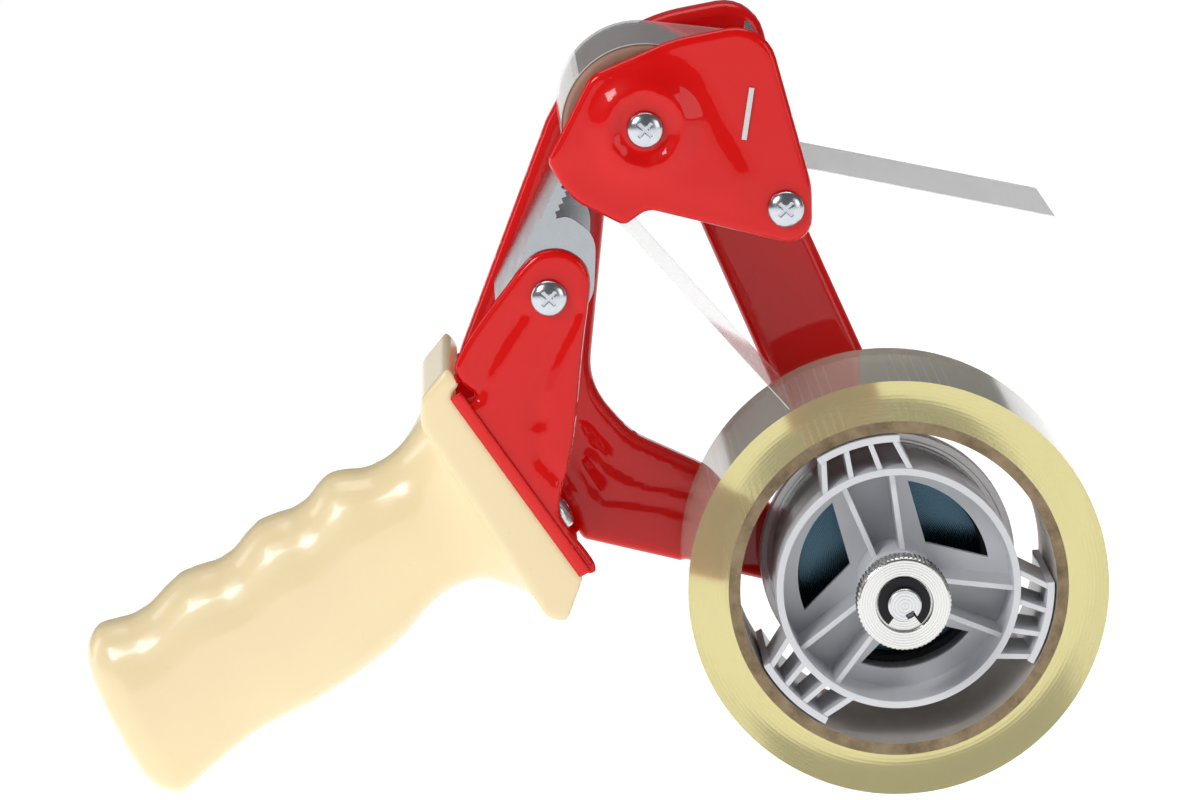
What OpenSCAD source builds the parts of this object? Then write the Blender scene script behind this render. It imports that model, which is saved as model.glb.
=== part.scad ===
// Hand-held packing-tape dispenser with a loaded roll.
// The hub's axis lies along Y. X runs from the handle's butt to the tape's free tail, Z is up,
// and -Y is the open side that a roll is loaded from. It stands on the roll and the handle's butt.

/* [Tape] */
// Width of the tape and its core
tape_w = 48; // [40:1:60]
// Inside diameter of the cardboard core
core_id = 76.2; // [70:0.2:92]
// Wall of the cardboard core
core_wall = 2.8; // [2:0.1:4]
// Depth of film wound on the core
wound_depth = 9.7; // [4:0.1:20]
// Drawn thickness of the tape film
film_t = 0.25; // [0.2:0.05:0.4]
// Length of the free tail past the cutter
tail_len = 62; // [20:1:90]
// Slope of the free tail below the horizontal, in degrees
tail_slope = 12.5; // [0:0.5:20]

/* [Frame] */
// Thickness of the pressed steel sheet
sheet_t = 1.6; // [1.2:0.1:2.4]
// Gap between the tape's edge and each side plate
side_gap = 2; // [1.5:0.1:4]
// Depth of the stiffening flange behind the far plate
flange_d = 5; // [3:0.5:8]
// Gap between the full roll and the heel of the frame
heel_gap = 23.9; // [16:0.1:40]
// Height of the heel's lower end above the hub's axis
heel_z = 6.5; // [0:0.5:12]
// Distance from the full roll to the roller's axis
reach_gap = 77.1; // [70:0.1:100]
// Direction of the roller's axis from the hub's axis, in degrees
reach_angle = 117.5; // [114:0.5:121]
// Length of the heel web that the handle is screwed to
heel_len = 54; // [50:1:60]

/* [Roller] */
// Diameter of the rubber roller
roller_d = 38.6; // [32:0.1:42]
// Thickness of the rubber sleeve
sleeve_t = 5; // [3:0.5:7]
// Outside diameter of the axle tube
axle_d = 8; // [7:0.5:10]
// Diameter of the bolts through the head and the flap
bolt_d = 5; // [4:0.5:6]

/* [Cutter] */
// Thickness of the cutter blade
blade_t = 1.2; // [0.8:0.1:1.6]
// Pitch of the cutter's teeth
tooth_pitch = 3.2; // [2.4:0.2:4]
// Height of the cutter's teeth
tooth_h = 4; // [3:0.5:5]
// Length of the blade's tabs, along the blade
tab_len = 12.5; // [8:0.5:14]

/* [Hub] */
// Diameter of the spindle
spindle_d = 8; // [6:0.5:10]
// Outside radius of the hub's front ring
ring_r = 29.4; // [27:0.1:30.5]
// Wall of the front ring and of the pads
ring_wall = 1.7; // [1.2:0.1:2.4]
// Gap between the hub's pads and the core
pad_gap = 0.6; // [0.3:0.1:1]
// Half the angle that one pad spans
pad_half = 16; // [12:1:20]
// Outside radius of the black friction ring
friction_r = 26; // [24:0.1:26.5]

/* [Tension nut] */
// Diameter of the knurled nut
nut_d = 22.6; // [20:0.2:26]
// Thickness of the knurled nut
nut_h = 6.6; // [5:0.2:9]

/* [Flap] */
// Thickness of the flap's plate
flap_t = 1.2; // [0.8:0.1:1.6]
// Distance of the flap's plate from its pivot
flap_off = 8.4; // [8:0.1:12]
// Lean of the flap's plate from the vertical, in degrees
flap_lean = 26.4; // [22:0.2:28]

/* [Handle] */
// Half the width of the grip at its thickest
grip_half = 15; // [12:0.5:17]
// Depth of the finger scallops
scallop = 2.8; // [0:0.1:4]
// Diameter of the two screws that hold the handle
handle_screw_d = 5; // [4:0.5:6]

/* [Hidden] */
$fn = 96;

fit = 0.05;        // radial play of a shaft in its bore
play = 0.3;        // gap between pieces that pass each other
eps = 0.01;

core_r = core_id / 2 + core_wall;
roll_r = core_r + wound_depth;
in_y = tape_w / 2 + side_gap;      // inner faces of the side plates
out_y = in_y + sheet_t;            // outer faces of the side plates
rim_y = out_y + flange_d;          // edge of the far plate's stiffening flange
bolt_end = rim_y - 0.5;            // far end of the bolts, kept inside that edge
roller_r = roller_d / 2;
wrap_r = roller_r + play;          // inner radius of the film round the roller
bolt_r = bolt_d / 2;
spindle_r = spindle_d / 2;

reach = roll_r + reach_gap;
head_at = [reach * cos(reach_angle), reach * sin(reach_angle)];
heel_at = [-(roll_r + heel_gap), heel_z];
heel_dir = 124.2;                  // direction of the heel web, upwards from its lower end
flap_at = heel_at + [-8, 66.9];    // flap pivot
post_at = head_at + [33, -19.9];   // head spacer
blade_at = head_at + [23.4, -3.2]; // lower end of the blade's tabs
blade_lean = 9.5;                  // lean of the blade from the vertical

// ---------- outlines in the XZ plane ----------

// A closed outline whose corners, given as [x, z, radius], are rounded by arcs
function unit(v) = v / norm(v);
function corner(a, p, b, r, n) =
    let (u = unit([a.x - p.x, a.y - p.y]), v = unit([b.x - p.x, b.y - p.y]),
         half = acos(max(-1, min(1, u * v))) / 2,
         lim = 0.49 * min(norm([a.x - p.x, a.y - p.y]), norm([b.x - p.x, b.y - p.y])),
         run = min(r / tan(half), lim), rad = run * tan(half),
         c = [p.x, p.y] + unit(u + v) * rad / sin(half),
         s = [p.x, p.y] + u * run, e = [p.x, p.y] + v * run,
         a0 = atan2(s.y - c.y, s.x - c.x), a1 = atan2(e.y - c.y, e.x - c.x),
         turn = a1 - a0 > 180 ? a1 - a0 - 360 : a1 - a0 < -180 ? a1 - a0 + 360 : a1 - a0)
    r <= 0 || half > 88 ? [[p.x, p.y]]
    : [for (i = [0:n]) c + rad * [cos(a0 + turn * i / n), sin(a0 + turn * i / n)]];
function rounded(p, n = 5) =
    [for (i = [0:len(p) - 1]) each
        corner(p[(i + len(p) - 1) % len(p)], p[i], p[(i + 1) % len(p)], p[i].z, n)];
// The same corners moved inwards by d, for an outline that runs clockwise
function inset(p, d) =
    [for (i = [0:len(p) - 1])
        let (a = p[(i + len(p) - 1) % len(p)], c = p[(i + 1) % len(p)],
             u = unit([p[i].x - a.x, p[i].y - a.y]), v = unit([c.x - p[i].x, c.y - p[i].y]),
             nu = [u.y, -u.x], nv = [v.y, -v.x], m = (nu + nv) / (1 + nu * nv),
             convex = u.x * v.y - u.y * v.x < 0)
        [p[i].x + d * m.x, p[i].y + d * m.y, max(0.1, p[i].z + (convex ? -d : d))]];
function moved(p, at) = [for (q = p) [q.x + at.x, q.y + at.y, q.z]];
function turned(v, a) = [v.x * cos(a) - v.y * sin(a), v.x * sin(a) + v.y * cos(a)];
// From along-the-web and above-the-web distances to X and Z
function from_heel(p) =
    [for (q = p) let (v = heel_at + turned([q.x, -q.y], heel_dir)) [v.x, v.y, q.z]];
function on_heel(s, h) = heel_at + turned([s, -h], heel_dir);

// Head: the near plate's corners, clockwise from the upper left, seen from the roller's axis
head_top = [[-12.5, 12.9, 6], [7, 20.9, 40], [29.1, 24.9, 10]];
head_corners = moved(concat(head_top, [
    [39.4, -14.8, 20], [39.4, -29.9, 7.5], [0.4, -19.4, 5], [-5.2, -23.3, 2.5],
    [-16.5, -17.3, 10], [-20.5, -12.3, 6], [-23.2, -7.3, 3]]), head_at);

// Far plate: head, right arm down to the hub, lower arm, heel and left arm, clockwise
hub_boss_r = 15;
far_corners = concat(
    moved(head_top, head_at),
    moved([[39, -16, 20], [41.2, -33, 10]], head_at),
    [[-3, 46, 20], [2.5, 26, 12], [hub_boss_r + 1, 8, 9], [hub_boss_r - 1, -hub_boss_r, 10],
     [2, -hub_boss_r - 1, 8]],
    [[heel_at.x, heel_z - 2.7, 1.5]],
    from_heel([[heel_len - 1, 0, 2]]),
    moved([[-28.6, 47.2, 4]], heel_at),
    moved([[-22.4, -5, 12]], head_at));
window_corners = concat(
    moved([[-7.5, -roller_r, 8], [10.5, -roller_r - 1, 8]], head_at),
    [[-19, 22, 12], [-20, 6, 5]],
    moved([[29.5, 15.3, 30], [12.5, 23.5, 18], [2, 36, 18]], heel_at));

// Near ear: in millimetres from the heel's lower end, clockwise from the pivot's left
ear_corners = moved([
    [-16.5, 71, 8], [-9, 80.5, 9.5], [2.8, 78, 9.5], [1, 62, 20], [-1.3, 46.1, 30],
    [-6.3, 15.2, 2]], heel_at);
ear_base = from_heel([[14, 0, 1], [47, 0, 4], [54, 2.6, 3], [61, 3.6, 3]]);

// ---------- helpers ----------

// A slab of a 2D outline between two Y values
module slab(y0, y1) {
    translate([0, y1, 0]) rotate([90, 0, 0]) linear_extrude(y1 - y0) children();
}
// A round bar along Y
module bar(at, r, y0, y1) {
    translate([at.x, y1, at.y]) rotate([90, 0, 0]) cylinder(r = r, h = y1 - y0);
}
// A profile of [radius, y] points turned round an axis along Y
module turned_y(at, profile) {
    translate([at.x, 0, at.y]) rotate([-90, 0, 0]) rotate_extrude() polygon(profile);
}
module outline(p) {
    polygon([for (q = rounded(p)) [q.x, q.y]]);
}
// Places its children in the blade's own frame: X across the blade, Y up along it
module blade_plane() {
    translate(blade_at) rotate(-blade_lean) children();
}
// Places its children in the flap's own frame: X across the plate, Y up along it
module flap_plane() {
    translate(flap_at) rotate(-flap_lean) children();
}
// A pan head with a cross recess, its underside at z = 0 and its crown upwards
pan_r = 4.4;
pan_h = 2.8;
module pan_shape(r, h) {
    rim_h = 0.35 * h;
    slot_w = 0.2 * r;
    difference() {
        rotate_extrude() polygon(concat([[0, 0], [r, 0], [r, rim_h]],
            [for (a = [18:18:90]) [r * cos(a), rim_h + (h - rim_h) * sin(a)]]));
        for (a = [45, 135]) rotate(a) translate([0, 0, h]) cube([r, slot_w, h * 0.7], center = true);
    }
}
// The same on a side plate, its underside at y and its crown towards -Y
module pan_head(at, y) {
    translate([at.x, y, at.y]) rotate([90, 0, 0]) pan_shape(pan_r, pan_h);
}
module hex_nut(at, y0) {
    nut_t = 1.6 * bolt_r;
    difference() {
        translate([at.x, y0 + nut_t, at.y]) rotate([90, 0, 0])
            cylinder(r = 1.85 * bolt_r, h = nut_t, $fn = 6);
        bar(at, bolt_r, y0 - 1, y0 + nut_t + 1);
    }
}
// A coil of round wire along Z, from z = 0 to h
function coil_ring(r, wire, h, turns, a, n) =
    let (c = [r * cos(a), r * sin(a), wire + (h - 2 * wire) * a / (360 * turns)])
    [for (i = [0:n - 1]) c + wire * [cos(a) * cos(360 * i / n), sin(a) * cos(360 * i / n),
                                     sin(360 * i / n)]];
module coil(r, wire, h, turns, steps = 16, n = 6) {
    rings = floor(turns * steps);
    points = [for (k = [0:rings]) each coil_ring(r, wire, h, turns, k * 360 * turns / rings, n)];
    sides = [for (k = [0:rings - 1], i = [0:n - 1])
        [k * n + i, k * n + (i + 1) % n, (k + 1) * n + (i + 1) % n, (k + 1) * n + i]];
    ends = [[for (i = [n - 1:-1:0]) i], [for (i = [0:n - 1]) rings * n + i]];
    polyhedron(points, concat([for (f = sides) [f[3], f[2], f[1], f[0]]],
                              [for (f = ends) [for (i = [n - 1:-1:0]) f[i]]]), convexity = 8);
}

// ---------- frame and head ----------

module through_holes(y0, y1) {
    slot_gap = 0.15;
    bar(head_at, bolt_r + fit, y0, y1);
    bar(post_at, bolt_r + fit, y0, y1);
    slab(y0, y1) blade_plane() translate([-blade_t / 2 - slot_gap, -2 * slot_gap])
        square([blade_t + 2 * slot_gap, tab_len + 4 * slot_gap]);
}

module frame() {
    color("firebrick") {
        difference() {
            union() {
                difference() {
                    slab(in_y, rim_y) outline(far_corners);
                    slab(out_y, rim_y + 1) difference() {
                        outline(inset(far_corners, sheet_t));
                        outline(inset(window_corners, -sheet_t));
                    }
                }
                slab(-out_y, in_y + eps) outline(from_heel([
                    [0, 0, 0.3], [0, -sheet_t, 0.3], [heel_len, -sheet_t, 0.3], [heel_len, 0, 0.3]]));
                slab(-out_y, -in_y) outline(concat(ear_corners, ear_base));
            }
            slab(in_y - 1, rim_y + 1) outline(window_corners);
            through_holes(in_y - 1, rim_y + 1);
            bar(flap_at, bolt_r + fit, -out_y - 1, rim_y + 1);
            bar([0, 0], spindle_r, in_y - 1, rim_y + 1);
            for (s = handle_screw_s)
                heel_hole(s, handle_screw_d / 2 + 0.2, -sheet_t - 1, 1);
        }
    }
}

// A hole or bar square to the heel web, s along it, from height h0 to h1
module heel_hole(s, r, h0, h1) {
    p = on_heel(s, h0);
    translate([p.x, 0, p.y]) rotate([0, 180 - heel_dir, 0]) cylinder(r = r, h = h1 - h0);
}
handle_screw_s = [12, 42];

// Dome round the roller bolt: rise, top radius, base radius, and the seat sunk in it
dome_h = 3;
dome_top = 9.5;
dome_base = 12.5;
seat_r = 7;
seat_d = 1.5;
seat_y = -(in_y + dome_h - seat_d);
module head_plate() {
    color("red") difference() {
        union() {
            difference() {
                slab(-out_y, -in_y) outline(head_corners);
                bar(head_at, dome_base, -out_y - 1, -in_y + 1);
            }
            turned_y(head_at, [
                [bolt_r + fit, seat_y - sheet_t], [seat_r, seat_y - sheet_t],
                [seat_r + 0.6, -out_y - dome_h], [dome_top, -out_y - dome_h],
                [dome_base + 0.4, -out_y], [dome_base + 0.4, -in_y], [dome_base, -in_y],
                [dome_top - 0.4, -in_y - dome_h], [seat_r + 1.6, -in_y - dome_h],
                [seat_r + 1, seat_y], [bolt_r + fit, seat_y]]);
        }
        through_holes(-out_y - dome_h - 1, -in_y + 1);
    }
}

// Blade: height of the teeth's roots above the tabs' lower end, and how many teeth fit
root_z = tab_len + 6;
blade_half = in_y - 0.2;
teeth = floor(2 * blade_half / tooth_pitch);
teeth_y = -teeth * tooth_pitch / 2;
skirt = 2.5;
tab_out = 0.6;
module cutter_blade() {
    tab_y = out_y + tab_out;
    right = [[-skirt, blade_half], [0, blade_half], [0, tab_y], [tab_len, tab_y],
             [tab_len, blade_half], [root_z, blade_half]];
    color("silver") blade_pose() polygon(concat(
        [for (p = right) [p.y, p.x]],
        [for (i = [teeth:-1:1]) each [[teeth_y + i * tooth_pitch, root_z],
                                      [teeth_y + (i - 0.5) * tooth_pitch, root_z + tooth_h]]],
        [[teeth_y, root_z]],
        [for (i = [len(right) - 1:-1:0]) [-right[i].y, right[i].x]]));
}
// Stands a drawing of the blade, X along Y and Y along the blade, in its place
module blade_pose(t = blade_t) {
    translate([blade_at.x, 0, blade_at.y]) rotate([0, blade_lean, 0]) rotate([90, 0, 90])
        translate([0, 0, -t / 2]) linear_extrude(t) children();
}

module head_spacer() {
    color("silver") difference() {
        bar(post_at, 5, -in_y, in_y);
        for (s = [-1, 1]) bar(post_at, bolt_r, min(s * (in_y - 14), s * (in_y + 1)),
                              max(s * (in_y - 14), s * (in_y + 1)));
    }
}
module head_screws() {
    color("gainsboro") for (s = [0, 1]) mirror([0, s, 0]) {
        pan_head(post_at, -out_y);
        bar(post_at, bolt_r - fit, -out_y - eps, -in_y + 12);
    }
}

// ---------- roller ----------

roller_half = in_y - 1;
module roller_axle() {
    color("silver") difference() {
        bar(head_at, axle_d / 2, seat_y, in_y);
        bar(head_at, bolt_r + fit, seat_y - 1, in_y + 1);
    }
}
module roller_core() {
    color("dimgray") difference() {
        bar(head_at, roller_r - sleeve_t, -roller_half, roller_half);
        bar(head_at, axle_d / 2 + fit, -roller_half - 1, roller_half + 1);
        for (s = [-1, 1]) difference() {
            bar(head_at, roller_r - sleeve_t - 2, s > 0 ? roller_half - 4 : -roller_half - 1,
                s > 0 ? roller_half + 1 : -roller_half + 4);
            bar(head_at, axle_d / 2 + 2.2, -roller_half - 2, roller_half + 2);
        }
    }
}
module roller_sleeve() {
    edge = 0.8;
    color("rosybrown") turned_y(head_at, [
        [roller_r - sleeve_t, -roller_half], [roller_r - edge, -roller_half],
        [roller_r, -roller_half + edge], [roller_r, roller_half - edge],
        [roller_r - edge, roller_half], [roller_r - sleeve_t, roller_half]]);
}
module roller_bolt() {
    color("gainsboro") {
        pan_head(head_at, seat_y - sheet_t);
        bar(head_at, bolt_r - fit, seat_y - sheet_t - eps, bolt_end);
    }
}
module roller_nut() {
    color("silver") hex_nut(head_at, out_y);
}

// ---------- tape flap ----------

flap_half = in_y - play;
// How far along the plate the flap reaches before it meets the film on the roller
to_roller = turned(head_at - flap_at, flap_lean);
flap_tip = to_roller.y - sqrt(pow(wrap_r + film_t + play, 2) - pow(to_roller.x + flap_off, 2));
flap_foot = 9;                     // how far the plate reaches below the pivot
module flap_ear() {
    outline([[-flap_off, -9, 0.3], [-flap_off, 16, 0.3], [-4, 19.5, 4], [4, 18, 8], [10, 4, 9],
             [5, -9.5, 8]]);
}
module tape_flap() {
    flange = 2;
    flange_end = flap_tip - 5;
    notch = 1.2;
    notches = floor((flange_end - 10) / (1.5 * notch));
    color("lightsteelblue") difference() {
        union() {
            slab(-flap_half, flap_half) flap_plane() translate([-flap_off - flap_t, -flap_foot])
                square([flap_t, flap_foot + flap_tip]);
            for (s = [0, 1]) mirror([0, s, 0]) slab(-flap_half, -flap_half + flap_t) flap_plane() {
                flap_ear();
                translate([-flap_off - eps, 0]) square([flange, flange_end]);
            }
        }
        bar(flap_at, axle_d / 2 + fit, -in_y, in_y);
        for (s = [0, 1]) mirror([0, s, 0]) slab(-in_y, -flap_half + flap_t + 1) flap_plane()
            for (i = [0:notches - 1])
                translate([flange - flap_off, 19 + 1.5 * notch * i]) rotate(45)
                    square(notch, center = true);
    }
}
module flap_pivot() {
    color("silver") difference() {
        bar(flap_at, axle_d / 2, -in_y, in_y);
        bar(flap_at, bolt_r + fit, -in_y - 1, in_y + 1);
    }
}
module flap_spring() {
    coil_h = 10;
    color("darkgray") translate([flap_at.x, coil_h / 2, flap_at.y]) rotate([90, 0, 0])
        coil(axle_d / 2 + 1.6, 0.6, coil_h, 6, 12);
}
module flap_bolt() {
    color("gainsboro") {
        pan_head(flap_at, -out_y);
        bar(flap_at, bolt_r - fit, -out_y - eps, bolt_end);
    }
}
module flap_nut() {
    color("silver") hex_nut(flap_at, out_y);
}

// ---------- handle ----------

function mix(a, b, t) = a + (b - a) * t;
// A smooth curve through the points of p, at t from 0 to len(p) - 1
function curve(p, t) =
    let (n = len(p) - 1, i = min(n - 1, floor(t)), u = t - i,
         a = p[max(0, i - 1)], b = p[i], c = p[i + 1], d = p[min(n, i + 2)])
    0.5 * (2 * b + (c - a) * u + (2 * a - 5 * b + 4 * c - d) * u * u
           + (3 * b - a - 3 * c + d) * u * u * u);
// Finger side and palm side of the grip, from the butt up to the collar, from the heel
grip_upper = [[-118.9, -14.9], [-98.8, -2.9], [-79.5, 9.5], [-62.5, 20.4], [-52.6, 21.9],
              [-44.5, 27.1], [-38.5, 37], [-36.2, 44.5]];
grip_lower = [[-99.3, -57.1], [-82, -43], [-64, -33.6], [-47, -21.8], [-36, -10.2],
              [-26, -5.8], [-17, -8.3], [-9.6, -12.6]];
grip_width = [0.93, 0.97, 1, 1, 0.98, 1, 1.25, 1.7];
stations = 35;
function finger(t) = t < 3 ? scallop * pow(sin(180 * t), 2) : 0;
function section(t, grow, n) =
    let (u = curve(grip_upper, t) - finger(t) * [-0.5, 0.85], l = curve(grip_lower, t),
         c = (u + l) / 2, half = (u - l) / 2 * grow,
         w = min(out_y - 0.5, grip_half * curve(grip_width, t)) * grow)
    [for (i = [0:n - 1]) let (a = 360 * i / n,
        q = c + half * sign(cos(a)) * pow(abs(cos(a)), 0.85))
        [heel_at.x + q.x, w * sign(sin(a)) * pow(abs(sin(a)), 0.8), heel_at.y + q.y]];
butt_out = unit([-0.907, -0.421]);
// The butt's dome, from its crown: how much of the last section, and how far out
butt_cap = [[0.5, 7.2], [0.74, 6.2], [0.88, 4.4], [0.95, 2.4]];
grip_n = 28;
butt = [for (c = butt_cap) shifted(section(0, c[0], grip_n), c[1])];
function shifted(p, d) = [for (q = p) [q.x + d * butt_out.x, q.y, q.z + d * butt_out.y]];
module grip() {
    n = grip_n;
    rings = concat(butt, [for (k = [0:stations]) section(7 * k / stations, 1, n)]);
    last = len(rings) - 1;
    polyhedron([for (r = rings) each r],
        concat([[for (i = [n - 1:-1:0]) i]],
               [for (k = [0:last - 1], i = [0:n - 1]) each [
                   [k * n + i, (k + 1) * n + (i + 1) % n, (k + 1) * n + i],
                   [k * n + i, k * n + (i + 1) % n, (k + 1) * n + (i + 1) % n]]],
               [[for (i = [0:n - 1]) last * n + i]]), convexity = 6);
}
collar = [[-0.3, -sheet_t, 1], [heel_len + 0.4, -sheet_t, 0.2], [heel_len + 0.8, 1.6, 0.6],
          [heel_len + 6.3, 1.8, 1], [heel_len + 3.5, -8, 3], [heel_len - 2, -12, 3],
          [-3, -14.5, 3], [-7.2, -11.5, 2]];
module handle() {
    color("wheat") difference() {
        union() {
            grip();
            slab(-out_y, out_y) outline(from_heel(collar));
        }
        for (s = handle_screw_s) heel_hole(s, handle_screw_d / 2, -22, 1);
    }
}
module handle_screws() {
    color("gainsboro") for (s = handle_screw_s) {
        heel_hole(s, handle_screw_d / 2 - fit, -20, eps);
        p = on_heel(s, 0);
        translate([p.x, 0, p.y]) rotate([0, 180 - heel_dir, 0]) pan_shape(0.95 * handle_screw_d, 3);
    }
}

// ---------- spindle, brake and hub ----------

front_y = -tape_w / 2;             // near edge of the tape
nut_y = front_y - 18;              // front face of the nut
spindle_end = nut_y - 1.8;         // near end of the spindle
key_w = 2.2;
key_turn = 30;                     // where the spindle's slot is, from straight down
clip_y = nut_y + 0.2;
clip_t = 0.8;
disc_y = 9;                        // front face of the brake disc
disc_t = 1.2;
floor_y = front_y + 17;            // front face of the hub's floor
floor_t = 2;
washer_y = nut_y + nut_h + 0.15;   // front face of the thrust washer
washer_t = 1.2;
boss_r = 9;
boss_y = front_y + 2;

module spindle() {
    head_r = spindle_r + 3;
    chamfer = 0.4;
    color("silver") difference() {
        union() {
            turned_y([0, 0], [
                [0, spindle_end], [spindle_r - chamfer, spindle_end],
                [spindle_r, spindle_end + chamfer], [spindle_r, out_y], [head_r, out_y],
                [head_r, out_y + 1.6], [head_r - 1, out_y + 2.4], [0, out_y + 2.4]]);
        }
        difference() {
            bar([0, 0], spindle_r + 1, clip_y - fit, clip_y + clip_t + fit);
            bar([0, 0], spindle_r - 0.8, clip_y - 1, clip_y + 2);
        }
        rotate([0, -key_turn, 0]) translate([-key_w / 2, spindle_end - 1, -spindle_r - 1])
            cube([key_w, disc_y + disc_t - spindle_end + 1, 3]);
    }
}
// The key that a washer or disc drops into the spindle's slot
module key(y0, y1) {
    w = key_w - 0.2;
    rotate([0, -key_turn, 0]) translate([-w / 2, y0, -spindle_r - 1.2]) cube([w, y1 - y0, 2.4]);
}
module disc_spacer() {
    color("silver") difference() {
        bar([0, 0], 7, disc_y + disc_t, in_y);
        bar([0, 0], spindle_r + fit, disc_y, in_y + 1);
    }
}
module brake_disc() {
    color("darkslategray") {
        difference() {
            bar([0, 0], friction_r - 0.5, disc_y, disc_y + disc_t);
            bar([0, 0], spindle_r + fit, disc_y - 1, disc_y + 3);
        }
        key(disc_y, disc_y + disc_t);
    }
}
module friction_ring() {
    color("black") difference() {
        bar([0, 0], friction_r, disc_y - 5, disc_y - 0.1);
        bar([0, 0], friction_r - 3.5, disc_y - 6, disc_y);
    }
}

arms = [105, -15, 225];            // direction of each arm, in degrees from +X
skirt_r = friction_r + 2;
back_y = -front_y - 6;             // front face of the hub's back plate
pad_r = core_id / 2 - pad_gap;
// A 2D sector from angle a0 to a1
module sector(r, a0, a1) {
    polygon(concat([[0, 0]], [for (i = [0:12]) r * [cos(mix(a0, a1, i / 12)), sin(mix(a0, a1, i / 12))]]));
}
module ring2d(r1, r0) {
    difference() {
        circle(r1);
        circle(r0);
    }
}
// A rib from p to q, w wide
module rib2d(p, q, w) {
    u = unit(q - p);
    n = [-u.y, u.x] * w / 2;
    polygon([p + n, q + n, q - n, p - n]);
}
module hub() {
    bore = spindle_r + fit;
    inner = ring_r - ring_wall;
    hole_r = 23.3;
    color("gainsboro") difference() {
        union() {
            slab(front_y, floor_y + floor_t) ring2d(ring_r, inner);
            slab(floor_y, floor_y + floor_t) difference() {
                circle(ring_r - 0.5);
                for (a = arms) hub_window(a, hole_r);
            }
            bar([0, 0], boss_r, boss_y, disc_y - 0.1);
            slab(floor_y + eps, disc_y - 5) ring2d(skirt_r, skirt_r - 4);
            slab(disc_y - 5 - eps, back_y + 2) ring2d(skirt_r, friction_r + fit);
            for (a = arms) hub_arm(a);
        }
        bar([0, 0], bore, boss_y - 1, disc_y + 1);
    }
}
// One of the three windows in the hub's floor, counter-clockwise from the arm at angle a
module hub_window(a, r) {
    web = 19;
    intersection() {
        difference() {
            circle(r);
            for (t = [0, 120]) rotate(a + t) translate([0, -web / 2]) square([ring_r, web]);
            circle(boss_r + 2);
        }
        sector(2 * ring_r, a, a + 120);
    }
}
// Two ribs inside the front ring, four outside it, and the pad, of the arm at angle a
module hub_arm(a) {
    rib_w = 1.3;
    slab(front_y + 3.5, floor_y + eps) rotate(a) for (s = [-1, 1])
        rib2d([boss_r - 3, s * 3.2], [ring_r - ring_wall / 2, s * 6.2], rib_w);
    slab(front_y + 0.4, floor_y + floor_t) rotate(a) for (i = [-1.5:1:1.5])
        rib2d((ring_r - 0.6) * [cos(14.5 * i), sin(14.5 * i)],
              (pad_r - 0.6) * [cos(9 * i), sin(9 * i)], rib_w);
    slab(front_y, back_y - 2) rotate(a) intersection() {
        ring2d(pad_r, pad_r - ring_wall);
        sector(2 * pad_r, -pad_half, pad_half);
    }
}
module hub_back_plate() {
    lip_r = 31.3;
    color("whitesmoke") {
        slab(back_y, back_y + 1.6) ring2d(lip_r, skirt_r + fit);
        slab(back_y - 4, back_y + 1.6) ring2d(lip_r, lip_r - 1.8);
    }
}
module brake_spring() {
    color("darkgray") translate([0, boss_y, 0]) rotate([90, 0, 0])
        coil(spindle_r + 2, 0.7, boss_y - washer_y - washer_t, 5, 14);
}
module thrust_washer() {
    color("silver") {
        difference() {
            bar([0, 0], 8.5, washer_y, washer_y + washer_t);
            bar([0, 0], spindle_r + fit, washer_y - 1, washer_y + 3);
        }
        key(washer_y, washer_y + washer_t);
    }
}
module tension_nut() {
    recess_r = 6.9;
    recess_d = 1.4;
    flutes = 60;
    color("lightgray") difference() {
        turned_y([0, 0], [
            [spindle_r + fit, nut_y + recess_d], [recess_r, nut_y + recess_d], [recess_r, nut_y],
            [nut_d / 2 - 0.7, nut_y], [nut_d / 2, nut_y + 0.7],
            [nut_d / 2, nut_y + nut_h - 0.5], [nut_d / 2 - 0.5, nut_y + nut_h],
            [spindle_r + fit, nut_y + nut_h]]);
        for (i = [0:flutes - 1]) rotate([0, 360 * i / flutes, 0])
            translate([nut_d / 2, nut_y + nut_h / 2, 0]) rotate([0, 45, 0])
                cube([0.5, nut_h + 1, 0.5], center = true);
    }
}
module e_clip() {
    color("black") slab(clip_y, clip_y + clip_t) rotate(-90) difference() {
        circle(6.25);
        circle(spindle_r - 0.75);
        sector(2 * spindle_r, -38, 38);
    }
}

// ---------- tape ----------

module tape_core() {
    color("tan") slab(front_y, -front_y) ring2d(core_r - eps, core_id / 2);
}
module tape_roll() {
    color("lightyellow") slab(front_y, -front_y) ring2d(roll_r, core_r);
}

// Route of the film, as the middle line of the strip seen from the side
film_r = wrap_r + film_t / 2;
peel_at = (roll_r + 0.7) * [cos(120), sin(120)];
// Angle at which a line from p touches the film's circle round the roller, on the side sgn
function touch(p, sgn) =
    let (d = p - head_at) atan2(d.y, d.x) + sgn * acos(film_r / norm(d));
teeth_at = blade_at + turned([0, tab_len + 7.4], -blade_lean);
web_touch = touch(peel_at, -1) + 360;
top_touch = touch(teeth_at, 1);
function arc(c, r, a0, a1, n) =
    [for (i = [0:n]) c + r * [cos(mix(a0, a1, i / n)), sin(mix(a0, a1, i / n))]];
fold_r = 3;
lift_r = 5;
drop_len = 20.8;
drop_dir = -80;
over_dir = top_touch - 90;
fold_c = teeth_at + fold_r * [sin(over_dir), -cos(over_dir)];
fold_end = fold_c + fold_r * [-sin(drop_dir), cos(drop_dir)];
drop_end = fold_end + drop_len * [cos(drop_dir), sin(drop_dir)];
lift_c = drop_end + lift_r * [-sin(drop_dir), cos(drop_dir)];
tail_start = lift_c - lift_r * [sin(tail_slope), cos(tail_slope)];
tail_end = tail_start + tail_len * [cos(tail_slope), -sin(tail_slope)];
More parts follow.
